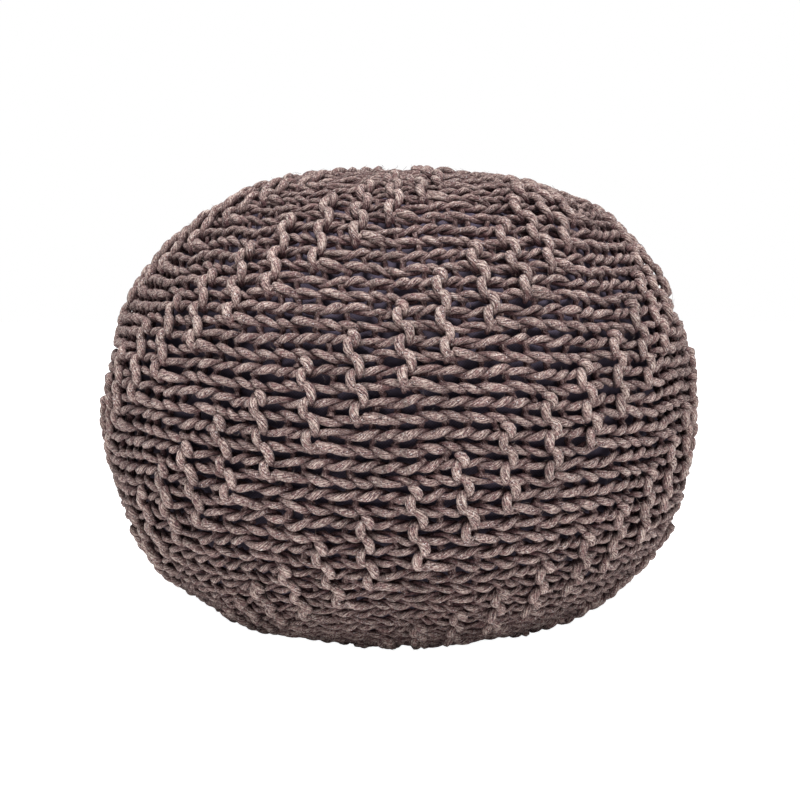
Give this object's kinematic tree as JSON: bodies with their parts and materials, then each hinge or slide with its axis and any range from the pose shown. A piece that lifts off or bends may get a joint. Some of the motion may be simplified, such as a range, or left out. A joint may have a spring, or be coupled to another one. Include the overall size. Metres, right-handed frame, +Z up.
{
  "type": "knitted pouf",
  "caption": "Round filled floor pouf with a cover knitted from thick cotton cord, raised zigzag columns in diagonal bands, a low crown and a flat base.",
  "frame": {"origin": "middle of the flat base, on the floor", "axes": "+Z up through the crown; -Y is the side seen in the picture, +X is to its right"},
  "size_m": [0.5012, 0.505, 0.3751],
  "materials": {
    "cotton_cord": "matt taupe twisted cotton cord, slightly hairy"
  },
  "bodies": {
    "root": {"knitted_pouf": "cotton_cord"}
  },
  "joints": []
}
